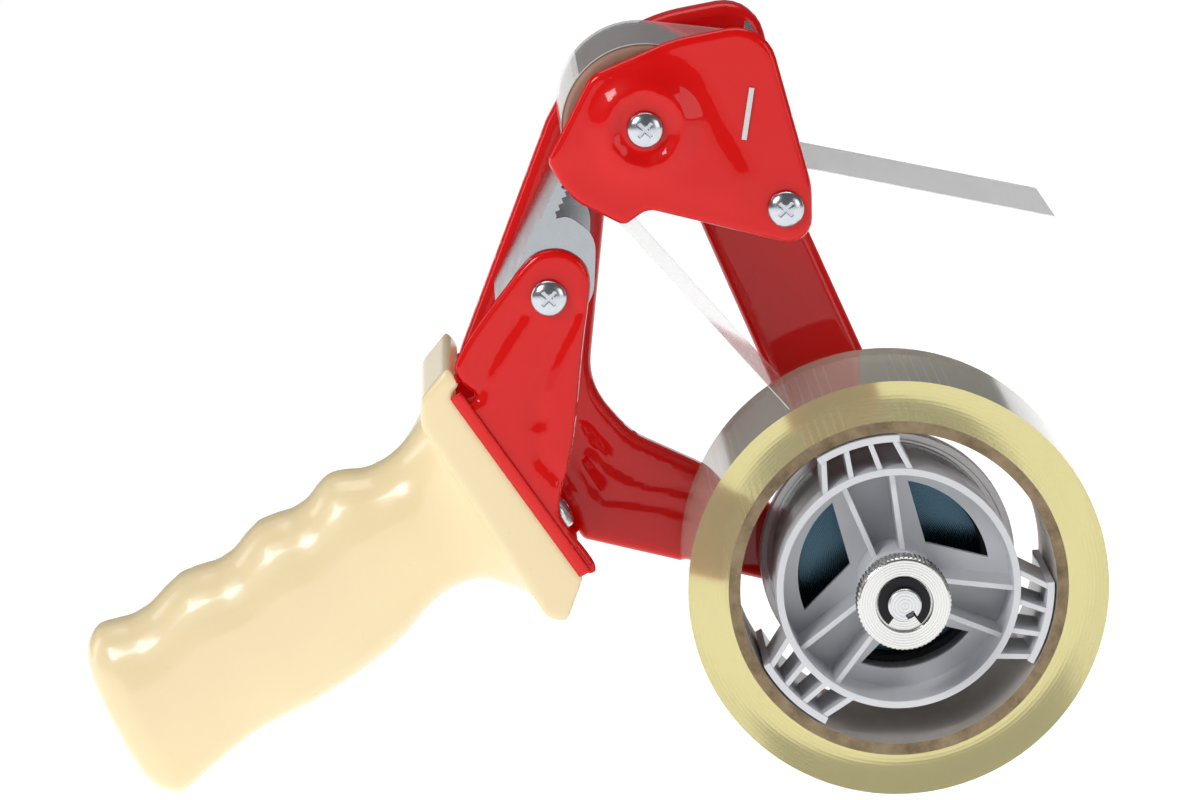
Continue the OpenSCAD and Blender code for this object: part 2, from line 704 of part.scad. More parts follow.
film_path = concat(
    [peel_at],
    arc(head_at, film_r, web_touch, top_touch, 24),
    arc(fold_c, fold_r, over_dir + 90, drop_dir + 90, 6),
    arc(lift_c, lift_r, drop_dir - 90, -tail_slope - 90, 8),
    [tail_end]);
function side(p, i, d) =
    let (a = p[max(0, i - 1)], b = p[min(len(p) - 1, i + 1)], u = unit(b - a))
    p[i] + d * [-u.y, u.x];
function ribbon(p, t) = concat([for (i = [0:len(p) - 1]) side(p, i, t / 2)],
                               [for (i = [len(p) - 1:-1:0]) side(p, i, -t / 2)]);
module tape_strip() {
    color("white") difference() {
        slab(front_y, -front_y) polygon(ribbon(film_path, film_t));
        blade_pose(blade_t + 0.4) for (i = [0:teeth - 1])
            translate([teeth_y + (i + 0.5) * tooth_pitch, root_z])
                polygon([[-tooth_pitch / 2, 0], [0, tooth_h + 0.3], [tooth_pitch / 2, 0]]);
    }
}

// ---------- placing ----------

// The part's origin is on the surface that it stands on, below the middle of the whole
left_x = min([for (r = butt) each [for (q = r) q.x]]);
right_x = max(roll_r, tail_end.x);
low_z = min(-roll_r, heel_at.y + grip_lower[0].y);
place = [-(left_x + right_x) / 2, -(spindle_end + rim_y) / 2, -low_z];

translate(place) {
    frame();
    head_plate();
    handle();
    handle_screws();
    roller_axle();
    roller_core();
    roller_sleeve();
    roller_bolt();
    roller_nut();
    cutter_blade();
    head_spacer();
    head_screws();
    tape_flap();
    flap_pivot();
    flap_spring();
    flap_bolt();
    flap_nut();
    spindle();
    disc_spacer();
    brake_disc();
    friction_ring();
    hub();
    hub_back_plate();
    brake_spring();
    thrust_washer();
    tension_nut();
    e_clip();
    tape_core();
    tape_roll();
    tape_strip();
}
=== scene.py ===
"""Looks of a hand-held packing-tape dispenser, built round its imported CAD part."""

import math

import bmesh
import bpy
import numpy as np
from mathutils import Matrix, Vector
from mathutils.geometry import delaunay_2d_cdt


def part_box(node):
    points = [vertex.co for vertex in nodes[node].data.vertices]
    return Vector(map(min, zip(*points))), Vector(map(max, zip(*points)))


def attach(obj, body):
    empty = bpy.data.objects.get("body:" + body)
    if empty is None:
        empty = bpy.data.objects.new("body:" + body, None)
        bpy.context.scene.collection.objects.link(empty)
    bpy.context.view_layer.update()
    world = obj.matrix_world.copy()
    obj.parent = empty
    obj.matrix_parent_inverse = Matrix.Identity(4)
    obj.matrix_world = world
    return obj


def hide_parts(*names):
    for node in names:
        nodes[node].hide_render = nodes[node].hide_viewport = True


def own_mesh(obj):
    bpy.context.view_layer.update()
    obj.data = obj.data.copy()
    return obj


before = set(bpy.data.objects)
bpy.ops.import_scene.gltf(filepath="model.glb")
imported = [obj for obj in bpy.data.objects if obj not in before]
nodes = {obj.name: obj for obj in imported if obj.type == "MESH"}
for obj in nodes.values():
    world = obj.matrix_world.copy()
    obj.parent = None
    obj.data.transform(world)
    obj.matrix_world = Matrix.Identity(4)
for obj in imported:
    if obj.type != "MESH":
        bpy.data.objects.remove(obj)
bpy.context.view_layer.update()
MM = 0.001
scene = bpy.context.scene


# ---------- where things are, in metres in the row frame ----------

def middle(name):
    """The middle of a node's box."""
    lo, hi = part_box(name)
    return (lo + hi) / 2


hub_at = middle("tape_core")


# ---------- materials ----------

class Mat:
    """A node material with short calls for its sockets."""

    def __init__(self, name):
        self.m = bpy.data.materials.new(name)
        self.m.use_nodes = True
        self.t = self.m.node_tree
        self.b = self.t.nodes["Principled BSDF"]

    def set(self, **kw):
        for k, v in kw.items():
            socket = self.b.inputs[k.replace("_", " ")]
            socket.default_value = (*v, 1.0) if socket.type == "RGBA" else v
        return self

    def node(self, kind, **kw):
        n = self.t.nodes.new(kind)
        for k, v in kw.items():
            if hasattr(n, k):
                setattr(n, k, v)
            else:
                n.inputs[k.replace("_", " ")].default_value = v
        return n

    def link(self, a, out, b, socket):
        self.t.links.new(a.outputs[out], b.inputs[socket])

    def coords(self, scale=(1, 1, 1), at=(0, 0, 0)):
        c = self.node("ShaderNodeTexCoord")
        m = self.node("ShaderNodeMapping")
        m.inputs["Scale"].default_value = scale
        m.inputs["Location"].default_value = at
        self.link(c, "Object", m, "Vector")
        return m

    def noise(self, scale, detail=3.0, stretch=(1, 1, 1), rough=0.5):
        m = self.coords(stretch)
        n = self.node("ShaderNodeTexNoise", Scale=scale, Detail=detail, Roughness=rough)
        self.link(m, "Vector", n, "Vector")
        return n

    def ramp(self, src, out, stops):
        r = self.node("ShaderNodeValToRGB")
        e = r.color_ramp.elements
        while len(e) < len(stops):
            e.new(0.5)
        for el, (p, c) in zip(e, stops):
            el.position = p
            el.color = (*c, 1) if len(c) == 3 else c
        self.link(src, out, r, "Fac")
        return r

    def colour(self, src, out, stops):
        self.link(self.ramp(src, out, stops), "Color", self.b, "Base Color")
        return self

    def rough(self, src, out, lo, hi):
        r = self.node("ShaderNodeMapRange")
        r.inputs["To Min"].default_value = lo
        r.inputs["To Max"].default_value = hi
        self.link(src, out, r, "Value")
        self.link(r, "Result", self.b, "Roughness")
        return self

    def bump(self, src, out, strength, distance):
        b = self.node("ShaderNodeBump", Strength=strength, Distance=distance)
        self.link(src, out, b, "Height")
        self.link(b, "Normal", self.b, "Normal")
        return self

    def rings(self, at, per_mm, distort=0.0):
        """A wave that runs outwards from an axis along Y."""
        m = self.coords(at=tuple(-v for v in at))
        s = self.node("ShaderNodeSeparateXYZ")
        c = self.node("ShaderNodeCombineXYZ")
        self.link(m, "Vector", s, "Vector")
        self.link(s, "X", c, "X")
        self.link(s, "Z", c, "Y")
        w = self.node("ShaderNodeTexWave", wave_type="RINGS", rings_direction="SPHERICAL",
                      Scale=per_mm * 1000 / 20 * 2 * math.pi, Distortion=distort)
        self.link(c, "Vector", w, "Vector")
        return w


def tone(c, k):
    """A colour made k times as bright."""
    return tuple(min(1.0, v * k) for v in c)


def enamel():
    m = Mat("red_enamel").set(Roughness=0.4, IOR=1.45, Specular_IOR_Level=0.12,
                             Coat_Weight=0.6, Coat_Roughness=0.05)
    c = (0.70, 0.001, 0.001)
    m.colour(m.noise(30, 4), "Fac", [(0.3, tone(c, 0.94)), (0.7, c)])
    m.bump(m.noise(900, 2), "Fac", 0.06, 0.0002)
    return m.m


def cream():
    m = Mat("cream_plastic").set(Coat_Weight=0.5, Coat_Roughness=0.12, IOR=1.5,
                                 Subsurface_Weight=0.12, Subsurface_Radius=(0.004, 0.0025, 0.001),
                                 Subsurface_Scale=1.0)
    c = (0.92, 0.76, 0.46)
    m.colour(m.noise(18, 5), "Fac", [(0.3, tone(c, 0.96)), (0.7, c)])
    n = m.noise(420, 4)
    m.rough(n, "Fac", 0.24, 0.36)
    m.bump(n, "Fac", 0.05, 0.0003)
    return m.m


def metal(name, c, rough, grain=(1, 1, 1), scale=600, bump=0.05):
    m = Mat(name).set(Metallic=1.0)
    n = m.noise(scale, 4, grain)
    m.colour(n, "Fac", [(0.25, tone(c, 0.86)), (0.75, c)])
    m.rough(n, "Fac", rough * 0.7, rough * 1.3)
    m.bump(n, "Fac", bump, 0.0002)
    return m.m


def turned(name, c, rough, at, per_mm, aniso=0.6, bump=0.12):
    """Metal faced in a lathe round the axis at the point."""
    m = Mat(name).set(Metallic=1.0, Anisotropic=aniso)
    w = m.rings(at, per_mm, 1.5)
    m.colour(w, "Fac", [(0.0, tone(c, 0.8)), (1.0, c)])
    m.rough(w, "Fac", rough * 0.8, rough * 1.2)
    m.bump(w, "Fac", bump, 0.0002)
    return m.m


def plastic(name, c, rough, grain=350, **kw):
    m = Mat(name).set(**kw)
    m.colour(m.noise(25, 4), "Fac", [(0.3, tone(c, 0.94)), (0.7, c)])
    n = m.noise(grain, 3)
    m.rough(n, "Fac", rough * 0.85, rough * 1.15)
    m.bump(n, "Fac", 0.05, 0.0003)
    return m.m


def board():
    m = Mat("cardboard")
    n = m.noise(160, 8, (1, 3, 1), 0.7)
    m.colour(n, "Fac", [(0.25, (0.10, 0.07, 0.04)), (0.5, (0.26, 0.19, 0.11)),
                        (0.8, (0.40, 0.31, 0.20))])
    m.set(Roughness=0.95)
    m.bump(n, "Fac", 0.6, 0.0008)
    return m.m


def board_inner():
    m = Mat("core_liner")
    n = m.noise(60, 6, (1, 0.4, 1), 0.6)
    m.colour(n, "Fac", [(0.3, (0.50, 0.46, 0.42)), (0.7, (0.66, 0.62, 0.58))])
    m.set(Roughness=0.6)
    m.bump(n, "Fac", 0.2, 0.0005)
    return m.m


def wound_side():
    """Side of the wound film: honey, cloudy, with the layers' fine rings."""
    m = Mat("tape_wound_side").set(IOR=1.45, Transmission_Weight=0.72)
    w = m.rings(hub_at, 1.1, 0.6)
    c = (0.85, 0.77, 0.37)
    m.colour(w, "Fac", [(0.0, tone(c, 0.93)), (1.0, c)])
    n = m.noise(120, 5)
    m.rough(n, "Fac", 0.16, 0.30)
    m.bump(w, "Fac", 0.05, 0.0002)
    return m.m


def wound_face():
    """Outer face of the wound film: clear and shiny."""
    m = Mat("tape_wound_face").set(IOR=1.40, Transmission_Weight=0.66, Roughness=0.08,
                                   Base_Color=(0.96, 0.95, 0.88))
    n = m.noise(45, 3, (1, 0.15, 1))
    m.bump(n, "Fac", 0.05, 0.0006)
    return m.m


def film():
    """A single clear film, milky enough to be seen."""
    m = Mat("tape_film").set(IOR=1.45, Alpha=0.5, Roughness=0.12, Coat_Weight=1.0,
                             Coat_Roughness=0.05)
    n = m.noise(40, 3, (1, 0.2, 1))
    m.colour(n, "Fac", [(0.3, (0.93, 0.94, 0.94)), (0.7, (0.98, 0.99, 0.99))])
    m.bump(n, "Fac", 0.06, 0.0006)
    return m.m


def milky():
    m = Mat("milky_plastic").set(IOR=1.45, Transmission_Weight=0.55)
    m.colour(m.noise(30, 4), "Fac", [(0.3, (0.80, 0.79, 0.80)), (0.7, (0.88, 0.87, 0.87))])
    m.rough(m.noise(300, 3), "Fac", 0.25, 0.38)
    return m.m


def rubber():
    m = Mat("roller_rubber").set(Specular_IOR_Level=0.35)
    n = m.noise(700, 6, (1, 1, 1), 0.65)
    m.colour(m.noise(60, 5), "Fac", [(0.3, (0.30, 0.165, 0.115)), (0.7, (0.42, 0.245, 0.175))])
    m.rough(n, "Fac", 0.62, 0.85)
    m.bump(n, "Fac", 0.35, 0.0004)
    return m.m


RED = enamel()
CREAM = cream()
ZINC = metal("zinc_steel", (0.62, 0.66, 0.70), 0.22)
FLAP = metal("flap_zinc", (0.47, 0.50, 0.53), 0.26, (1, 0.1, 1), 400, 0.03)
BLADE = metal("blade_steel", (0.72, 0.73, 0.74), 0.28, (1, 0.2, 1), 700)
SPRING = metal("spring_wire", (0.5, 0.51, 0.53), 0.3)
NUT = turned("nut_zinc", (0.80, 0.80, 0.78), 0.26, hub_at, 1.6)
SPINDLE = turned("spindle_end", (0.76, 0.77, 0.78), 0.3, hub_at, 1.2, 0.3)
DISC = turned("dark_disc", (0.075, 0.14, 0.19), 0.27, hub_at, 2.2, 0.85, 0.06)
OXIDE = metal("black_oxide", (0.03, 0.03, 0.033), 0.4)
FRICTION = plastic("black_friction", (0.018, 0.018, 0.02), 0.7, 500)
HUB = plastic("hub_plastic", (0.72, 0.73, 0.76), 0.33, Coat_Weight=0.15, Subsurface_Weight=0.06,
              Subsurface_Radius=(0.003, 0.003, 0.003), Subsurface_Scale=1.0)
MILKY = milky()
BUSH = plastic("roller_bush", (0.03, 0.028, 0.026), 0.45)
RUBBER = rubber()
BOARD = board()
LINER = board_inner()
SIDE = wound_side()
FACE = wound_face()
FILM = film()

for name, mat in dict(
    frame=RED, head_plate=RED, handle=CREAM, handle_screws=ZINC, roller_axle=ZINC,
    roller_core=BUSH, roller_sleeve=RUBBER, roller_bolt=ZINC, roller_nut=ZINC,
    cutter_blade=BLADE, head_spacer=ZINC, head_screws=ZINC, tape_flap=FLAP, flap_pivot=ZINC,
    flap_spring=SPRING, flap_bolt=ZINC, flap_nut=ZINC, spindle=SPINDLE, disc_spacer=ZINC,
    brake_disc=DISC, friction_ring=FRICTION, hub=HUB, hub_back_plate=MILKY, brake_spring=SPRING,
    thrust_washer=ZINC, tension_nut=NUT, e_clip=OXIDE, tape_core=BOARD, tape_roll=SIDE,
    tape_strip=FILM,
).items():
    data = nodes[name].data
    data.materials.clear()
    data.materials.append(mat)


def second_material(name, mat, test):
    """Gives a node a second material on the faces that the test picks."""
    data = nodes[name].data
    data.materials.append(mat)
    for p in data.polygons:
        if test(p):
            p.material_index = 1


second_material("tape_roll", FACE, lambda p: abs(p.normal.y) < 0.5)
second_material("tape_core", LINER, lambda p: abs(p.normal.y) < 0.5)


# ---------- pressed sheet: X and Z in millimetres from the hub's axis ----------

MID_Y = 0.0056                        # middle of the tape's width, in metres
SHEET = 1.6                           # thickness of the sheet
IN_Y = 26.0                           # inner face of a side plate, from the tape's middle
OUT_Y = IN_Y + SHEET                  # its outer face
RIM_Y = 32.6                          # edge of the far plate's flange
EDGE_ROLL, FLANGE_ROLL = 1.5, 2.8     # how far round a cut edge and a flange's bend go
BOLT_HOLE, SPINDLE_HOLE = 2.7, 4.05
HEAD = np.array([-58.965, 113.271])   # roller's axis
FLAP_PIN = np.array([-82.5, 73.4])    # flap's axis
POST = np.array([-25.97, 93.37])      # spacer post's axis
HEEL = np.array([-74.5, 6.5])         # lower end of the web that carries the handle
HEEL_RUN = np.array([-0.5621, 0.8271])
HEEL_UP = np.array([0.8271, 0.5621])


def to_row(p):
    """X, Y and Z in millimetres from the hub's middle to metres in the row frame."""
    return np.asarray(p, float).reshape(-1, 3) * MM + np.array([hub_at.x, MID_Y, hub_at.z])


def on_heel(s, h):
    """A point s along the heel's web from its lower end, and h above it."""
    return HEEL + s * HEEL_RUN + h * HEEL_UP


def rounded(corners, n=7):
    """A closed outline from [x, z, radius] corners, each rounded by an arc."""
    out = []
    p = [np.array(q, float) for q in corners]
    for i, q in enumerate(p):
        a, b = p[i - 1][:2] - q[:2], p[(i + 1) % len(p)][:2] - q[:2]
        la, lb = np.linalg.norm(a), np.linalg.norm(b)
        u, v = a / la, b / lb
        half = math.acos(max(-1, min(1, float(u @ v)))) / 2
        nearly_straight = 1.54
        if half > nearly_straight:
            out.append(q[:2])
            continue
        run = min(q[2] / math.tan(half), 0.49 * min(la, lb))
        rad = run * math.tan(half)
        c = q[:2] + (u + v) / np.linalg.norm(u + v) * run / math.cos(half)
        s, e = q[:2] + u * run - c, q[:2] + v * run - c
        a0, a1 = math.atan2(s[1], s[0]), math.atan2(e[1], e[0])
        turn = (a1 - a0 + math.pi) % (2 * math.pi) - math.pi
        out += [c + rad * np.array([math.cos(a0 + turn * k / n), math.sin(a0 + turn * k / n)])
                for k in range(n + 1)]
    return np.array(out)


def ring(at, r, n=24):
    """The outline of a round hole."""
    a = np.arange(n) * 2 * math.pi / n
    return np.stack([at[0] + r * np.cos(a), at[1] + r * np.sin(a)], 1)


def eased(loop, rounds=2):
    """Cuts a measured outline's corners until it runs smoothly."""
    for _ in range(rounds):
        nxt = np.roll(loop, -1, 0)
        loop = np.stack([0.75 * loop + 0.25 * nxt, 0.25 * loop + 0.75 * nxt], 1).reshape(-1, 2)
    return loop


def resample(loop, step):
    """The same outline with points no further apart than the step."""
    out = []
    for a, b in zip(loop, np.roll(loop, -1, 0)):
        gap = np.linalg.norm(b - a)
        if gap > 1e-4:
            k = max(1, int(math.ceil(gap / step)))
            out += [a + (b - a) * i / k for i in range(k)]
    return np.array(out)


def dist(pts, line, closed=True):
    """Distance from each point to an outline or to an open line."""
    line = np.asarray(line, float)
    a = line if closed else line[:-1]
    b = np.roll(line, -1, 0) if closed else line[1:]
    best = np.full(len(pts), 1e9)
    for p, q in zip(a, b):
        d = q - p
        t = np.clip(((pts - p) @ d) / max(1e-12, d @ d), 0, 1)
        best = np.minimum(best, np.linalg.norm(pts - p - t[:, None] * d, axis=1))
    return best


def inside(pts, loop):
    """Which points lie inside an outline."""
    x, z = pts[:, 0], pts[:, 1]
    hit = np.zeros(len(pts), bool)
    for (x0, z0), (x1, z1) in zip(loop, np.roll(loop, -1, 0)):
        if z0 != z1:
            hit ^= ((z0 > z) != (z1 > z)) & (x < (x1 - x0) * (z - z0) / (z1 - z0) + x0)
    return hit


def ease(t):
    """A smooth step from 0 to 1."""
    t = np.clip(t, 0, 1)
    return t * t * (3 - 2 * t)


def rolled(d, r):
    """How far a bent edge of radius r falls back at a distance d from its end."""
    e = np.clip(1 - d / r, 0, 1)
    return r - np.sqrt(np.maximum(r * r - (r * e) ** 2, 0))


def crease(pts, line, depth, half):
    """A pressed groove along a line."""
    return depth * np.exp(-(dist(pts, line, False) / half) ** 2)


def add(name, verts, faces):
    """A smooth mesh object from points in millimetres."""
    me = bpy.data.meshes.new(name)
    me.from_pydata([tuple(p) for p in to_row(verts)], [], faces)
    me.validate()
    me.polygons.foreach_set("use_smooth", [True] * len(me.polygons))
    o = bpy.data.objects.new(name, me)
    scene.collection.objects.link(o)
    return o


EDGE_STEP, FIELD_STEP = 1.0, 1.6      # between points of an outline, and of the grid
STAGGER = 0.37                        # shift of every other row of the grid, in steps
GRID_GAP = 3.0                        # from an outline to the grid
EDGE_ROWS = (0.3, 0.8, 1.5, 2.4)      # rows of points beside each outline, where the sheet bends


def sheet_points(loops):
    """Points for the inside of a sheet: a staggered grid, and rows that follow its outlines."""
    lo, hi = loops[0].min(0), loops[0].max(0)
    gx, gz = np.meshgrid(np.arange(lo[0], hi[0], FIELD_STEP), np.arange(lo[1], hi[1], FIELD_STEP))
    odd_row = np.arange(gx.size) // gx.shape[1] % 2
    grid = np.stack([gx.ravel() + STAGGER * FIELD_STEP * odd_row, gz.ravel()], 1)
    found, near = [grid], [np.full(len(grid), GRID_GAP)]
    for lp in loops:
        t = np.roll(lp, -1, 0) - np.roll(lp, 1, 0)
        t /= np.linalg.norm(t, axis=1)[:, None] + 1e-9
        side = np.stack([t[:, 1], -t[:, 0]], 1)
        for way in (-1, 1):
            for d in EDGE_ROWS:
                found.append(lp + way * d * side)
                near.append(np.full(len(lp), d))
    found, near = np.concatenate(found), np.concatenate(near)
    ok = inside(found, loops[0])
    for lp in loops:
        if lp is not loops[0]:
            ok &= ~inside(found, lp)
        ok &= dist(found, lp) > 0.9 * near
    return found[ok]


def sheet_mesh(name, loops, front, skirts=()):
    """One face of a pressed sheet. front(points) gives its Y; the loops named in skirts carry on
    to the Y beside them, as a flange."""
    loops = [resample(lp, EDGE_STEP) for lp in loops]
    pts, edges = [], []
    for lp in loops:
        k = len(pts)
        pts += list(lp)
        edges += [(k + i, k + (i + 1) % len(lp)) for i in range(len(lp))]
    pts = np.concatenate([np.array(pts), sheet_points(loops)])
    made = delaunay_2d_cdt([Vector(p) for p in pts], edges, [], 0, 1e-4)
    flat = np.array([list(v) for v in made[0]])
    tri = np.array([list(f) for f in made[2] if len(f) == 3])
    mid = flat[tri].mean(1)
    ok = inside(mid, loops[0])
    for lp in loops[1:]:
        ok &= ~inside(mid, lp)
    tri = tri[ok]
    e1, e2 = flat[tri[:, 1]] - flat[tri[:, 0]], flat[tri[:, 2]] - flat[tri[:, 0]]
    flipped = e1[:, 0] * e2[:, 1] - e1[:, 1] * e2[:, 0] < 0
    tri[flipped] = tri[flipped][:, ::-1]
    y = front(flat)
    verts = [(p[0], yy, p[1]) for p, yy in zip(flat, y)]
    faces = [tuple(int(i) for i in f) for f in tri]
    for k, deep in skirts:
        lp = loops[k]
        row = [int(np.argmin(np.linalg.norm(flat - q, axis=1))) for q in lp]
        start = len(verts)
        verts += [(p[0], deep, p[1]) for p in lp]
        nxt = np.roll(lp, -1, 0)
        ccw = float(np.sum(lp[:, 0] * nxt[:, 1] - nxt[:, 0] * lp[:, 1])) > 0
        for i in range(len(lp)):
            j = (i + 1) % len(lp)
            if row[i] == row[j]:
                continue
            q = (row[i], start + i, start + j, row[j])
            faces.append(q if ccw == (k == 0) else q[::-1])
    o = add(name, verts, faces)
    bm = bmesh.new()
    bm.from_mesh(o.data)
    bmesh.ops.delete(bm, geom=[v for v in bm.verts if not v.link_faces], context="VERTS")
    bm.to_mesh(o.data)
    bm.free()
    return o


def thicken(o, t=SHEET):
    """Gives a sheet its thickness, soft cut edges and the red enamel."""
    s = o.modifiers.new("thick", "SOLIDIFY")
    s.thickness, s.offset, s.use_even_offset = t * MM, -1.0, False
    b = o.modifiers.new("edge", "BEVEL")
    b.width, b.segments, b.limit_method = 0.4 * MM, 2, "ANGLE"
    b.angle_limit = math.radians(55)
    o.data.materials.append(RED)
    return o


head_loop = rounded([
    [-71.5, 126.2, 6], [-52, 134.2, 40], [-29.9, 138.05, 10], [-19.6, 98.5, 20],
    [-19.6, 83.4, 7.5], [-58.6, 93.9, 5], [-64.2, 90, 2.5], [-75.5, 96, 10], [-79.5, 101, 6],
    [-82.2, 106, 3]])
press_low = [(-84, 104), (-77.7, 105.4), (-74.4, 106.2), (-70.2, 103.3), (-66, 99.4),
             (-62.3, 98.6), (-57.5, 98.7), (-50.9, 97.3), (-43.4, 95), (-36.8, 93.9)]
press_right = [(-36.8, 93.9), (-34.8, 100.5), (-37.5, 105.8), (-41.2, 112.1), (-43.5, 116.9),
               (-46.7, 123.2), (-50.4, 126.6), (-55.1, 128.6), (-60, 134)]
raised = np.array(press_low + press_right + [(-74, 131), (-84, 118)])


FIELD_RISE, FIELD_SLOPE = 0.9, 7.0
DOME_RISE, DOME_R, DOME_SLOPE = 3.0, 14.6, 6.0
SEAT_RISE, SEAT_R, SEAT_SLOPE = 1.5, 8.0, 1.2


def head_front(p):
    """The near head plate: a raised field, a dome round the roller's bolt and its sunk seat."""
    line = press_low + press_right[1:]
    d = dist(p, line, False) * np.where(inside(p, raised), 1, -1)
    rise = FIELD_RISE * ease(0.5 + d / FIELD_SLOPE)
    r = np.linalg.norm(p - HEAD, axis=1)
    rise += (DOME_RISE - rise) * ease((DOME_R - r) / DOME_SLOPE)
    rise += (SEAT_RISE - rise) * ease((SEAT_R - r) / SEAT_SLOPE)
    return -OUT_Y - rise + rolled(dist(p, head_loop), EDGE_ROLL)


head_sheet = thicken(sheet_mesh(
    "head_sheet", [head_loop, ring(HEAD, BOLT_HOLE), ring(POST, BOLT_HOLE)], head_front))
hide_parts("head_plate")
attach(head_sheet, "frame")

far_loop = rounded([
    [-71.5, 126.2, 6], [-52, 134.2, 40], [-29.9, 138.05, 10], [-20, 97.3, 20], [-17.8, 80.3, 10],
    [-3, 46, 20], [2.5, 26, 12], [16, 8, 9], [14, -15, 10], [2, -16, 8], [-74.5, 3.8, 3],
    [-104.3, 50.3, 2], [-103.1, 53.7, 4], [-81.4, 108.3, 12]])
window_loop = rounded([
    [-66.5, 94, 8], [-48.5, 93, 8], [-19, 22, 12], [-20, 6, 5], [-45, 21.8, 30], [-62, 30, 18],
    [-72.5, 42.5, 18]])
far_creases = [
    [(-74.8, 31.4), (-68.1, 23.5), (-59.9, 18.4), (-48.3, 15.7)],
    [(-71.1, 17.1), (-74.4, 22.7), (-75.7, 25.5), (-73.6, 26.9)]]
far_steps = [[(-69, 14.5), (-60, 13.5), (-53.9, 12), (-49.1, 10.5)]]


def far_front(p):
    """The far plate, seen from the roll: its edges roll back into the flange."""
    y = IN_Y + rolled(np.minimum(dist(p, far_loop), dist(p, window_loop)), FLANGE_ROLL)
    for line in far_creases:
        y += crease(p, line, depth=0.7, half=1.8)
    for line in far_steps:
        y += crease(p, line, depth=0.5, half=1.4)
    return y


far_sheet = thicken(sheet_mesh(
    "far_sheet", [far_loop, window_loop, ring((0, 0), SPINDLE_HOLE), ring(HEAD, BOLT_HOLE),
                  ring(POST, BOLT_HOLE), ring(FLAP_PIN, BOLT_HOLE)],
    far_front, [(0, RIM_Y), (1, RIM_Y)]))
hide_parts("frame")
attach(far_sheet, "frame")

ear_right = [
    (-105.5, 57.4), (-102.4, 63.3), (-97.6, 69.9), (-92.8, 75.8), (-88.8, 81), (-85.4, 84.2),
    (-80.8, 85.1), (-76.9, 84.1), (-73.6, 81.3), (-72.4, 77.2), (-73, 71.9), (-74.7, 61.3),
    (-76.4, 45.2), (-77.9, 35.2), (-80.8, 25.2), (-81.2, 21.1), (-79, 17), (-75.1, 12.2),
    (-72.5, 8.1), (-73.2, 6.4)]
ear_base = [on_heel(1, -1.3), on_heel(24, -1.3), on_heel(47, -1.3)]
ear_left = [(-101.4, 48.6), (-100.4, 50.6), (-102.3, 51.9), (-104.9, 54.7)]
ear_loop = eased(np.array([tuple(p) for p in ear_right + ear_base + ear_left]))
ear_grooves = [
    [(-89, 70.3), (-93.1, 64.4), (-96.9, 58.5), (-98.9, 54.5), (-99.3, 51.9), (-100.4, 49.9)],
    [(-75.8, 70), (-79.3, 64.1), (-82.7, 57.5), (-84.8, 52.2), (-86.3, 46.8), (-86.7, 43.5)],
    [(-84.3, 46.1), (-86.1, 39.4), (-85.2, 34.7), (-82, 31.3), (-79.4, 27.8)]]


def ear_front(p):
    """The near ear: its field bulges between the pressed grooves."""
    web_gap, web_reach = 2.2, 1.3
    by_the_web = np.where((p - HEEL) @ HEEL_UP < web_gap, web_reach, 0)
    y = -OUT_Y + rolled(np.maximum(dist(p, ear_loop), by_the_web), EDGE_ROLL)
    for line in ear_grooves:
        y += crease(p, line, depth=0.8, half=1.7)
    return y


ear_sheet = thicken(sheet_mesh("ear_sheet", [ear_loop, ring(FLAP_PIN, BOLT_HOLE)], ear_front))
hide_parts("frame")
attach(ear_sheet, "frame")


def heel_web():
    """The web that the handle is screwed to, its bends rounded."""
    steps, bend, thick = 6, 2.6, 1.5
    first, last, count = 0.3, 53.7, 28
    turns = [math.pi / 2 * k / steps for k in range(steps + 1)]
    prof = [(-OUT_Y + bend - bend * math.cos(a), -SHEET + bend - bend * math.sin(a)) for a in turns]
    prof += [(IN_Y + SHEET - bend + bend * math.sin(a), -SHEET + bend - bend * math.cos(a))
             for a in turns]
    verts, faces = [], []
    cuts = np.linspace(first, last, count)
    for s in cuts:
        for y, h in prof:
            p = on_heel(s, h)
            verts.append((p[0], y, p[1]))
    row = len(prof)
    for i in range(len(cuts) - 1):
        for k in range(row - 1):
            a = i * row + k
            faces.append((a, a + 1, a + row + 1, a + row))
    return thicken(add("heel_web", verts, faces), thick)


web_sheet = heel_web()
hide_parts("frame")
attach(web_sheet, "frame")


# ---------- softened edges on the CAD pieces ----------

def soften(name, width, segments=2, angle=35):
    """A small bevel on every sharp edge of a CAD node."""
    o = nodes[name]
    w = o.modifiers.new("weld", "WELD")
    w.merge_threshold = 1e-6
    b = o.modifiers.new("edge", "BEVEL")
    b.width, b.segments, b.limit_method = width * MM, segments, "ANGLE"
    b.angle_limit = math.radians(angle)
    b.harden_normals = True


for name, width in dict(
    hub=0.35, tape_flap=0.25, tension_nut=0.2, brake_disc=0.15, spindle=0.2, hub_back_plate=0.3,
    e_clip=0.12, roller_sleeve=0.4, roller_bolt=0.15, flap_bolt=0.15, head_screws=0.15,
    handle_screws=0.15,
).items():
    soften(name, width)

# The handle is faired, so that its grip runs into the collar with a fillet
skin = nodes["handle"].modifiers.new("skin", "REMESH")
skin.mode, skin.voxel_size, skin.use_smooth_shade = "VOXEL", 0.8 * MM, True
fair = nodes["handle"].modifiers.new("fair", "SMOOTH")
fair.factor, fair.iterations = 0.5, 9


# ---------- the brake's spring, as a copy of its own -----------------------

def pressed_spring():
    """A copy of the spring, with a mesh of its own, carried by the frame in place of the hidden CAD
    spring.
    """
    old = nodes["brake_spring"]
    coil = bpy.data.objects.new("brake_coil", old.data.copy())
    coil.matrix_world = old.matrix_world
    scene.collection.objects.link(coil)
    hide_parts("brake_spring")
    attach(coil, "frame")
    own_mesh(coil)


pressed_spring()


# ---------- stage, light and camera ----------

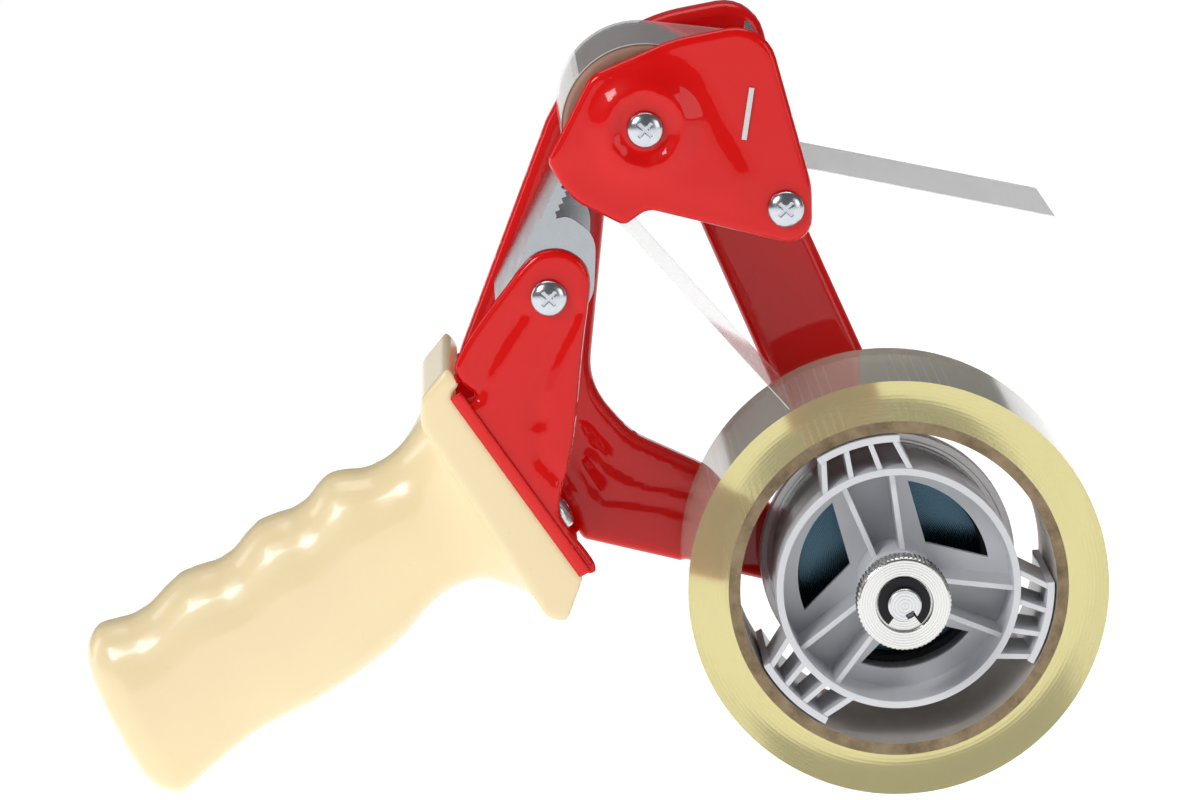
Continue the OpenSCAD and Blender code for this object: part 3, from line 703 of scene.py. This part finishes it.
def white(name, c, glow):
    """A pale paint that glows evenly, so that the floor is white all the way back."""
    m = Mat(name).set(Roughness=0.6, Base_Color=(c, c, c), Emission_Color=(1.0, 1.0, 1.0),
                      Emission_Strength=glow, Specular_IOR_Level=0.2)
    n = m.noise(2.0, 2)
    m.colour(n, "Fac", [(0.3, (c * 0.99,) * 3), (0.7, (c,) * 3)])
    return m.m


def floor():
    """A wide pale floor: the camera looks down, so it fills the view behind the object."""
    half, low = 14.0, -0.0002
    me = bpy.data.meshes.new("floor")
    me.from_pydata([(-half, -half, low), (half, -half, low), (half, half, low), (-half, half, low)],
                   [], [(0, 1, 2, 3)])
    o = bpy.data.objects.new("floor", me)
    scene.collection.objects.link(o)
    o.data.materials.append(white("studio_white", 0.5, 0.9))
    return o


floor()


def area(name, at, to, size, power):
    """A white rectangular light at a point, aimed at another."""
    light = bpy.data.lights.new(name, "AREA")
    light.shape = "RECTANGLE"
    light.size, light.size_y = size
    light.energy = power
    o = bpy.data.objects.new(name, light)
    o.location = at
    o.rotation_mode = "QUATERNION"
    o.rotation_quaternion = (Vector(to) - Vector(at)).to_track_quat("-Z", "Y")
    scene.collection.objects.link(o)


centre = (0.0, 0.0, 0.08)
area("key", (-0.9, -1.1, 1.0), centre, (0.5, 0.5), 11)
area("fill", (1.3, -1.2, 0.6), centre, (0.8, 0.8), 3.5)
area("top", (0.0, 0.3, 1.6), centre, (1.4, 1.0), 9)
area("left", (-1.4, 0.3, 0.45), centre, (0.4, 1.0), 3)

world = bpy.data.worlds.new("world")
world.use_nodes = True
world.node_tree.nodes["Background"].inputs["Color"].default_value = (1, 1, 1, 1)
world.node_tree.nodes["Background"].inputs["Strength"].default_value = 0.12
scene.world = world
scene.view_settings.view_transform = "Standard"

# A long lens from 1.5 m away: it looks 10 degrees down, from 1.5 degrees left of square on. Its
# place and aim are then turned together by 1.2 degrees about the hub's axis, to match the photo
turn, lift, roll = math.radians(-1.5), math.radians(10.0), math.radians(1.2)
level = Matrix.Rotation(roll, 3, "Y")
back = Vector((math.sin(turn) * math.cos(lift), -math.cos(turn) * math.cos(lift), math.sin(lift)))
right = Vector((math.cos(turn), math.sin(turn), 0.0))
up = back.cross(right)
eye_from_hub = Vector((-0.1102, -1.4910, 0.3051))
eye = level @ eye_from_hub + Vector((hub_at.x, MID_Y, hub_at.z))
cam_data = bpy.data.cameras.new("camera")
cam_data.sensor_width = 36.0
cam_data.lens = 187.5
cam_data.clip_start, cam_data.clip_end = 0.05, 20.0
cam = bpy.data.objects.new("camera", cam_data)
axes = Matrix([level @ right, level @ up, level @ back]).transposed()
cam.matrix_world = Matrix.Translation(eye) @ axes.to_4x4()
scene.collection.objects.link(cam)
scene.camera = cam

# ---------- end ----------

bpy.context.view_layer.update()
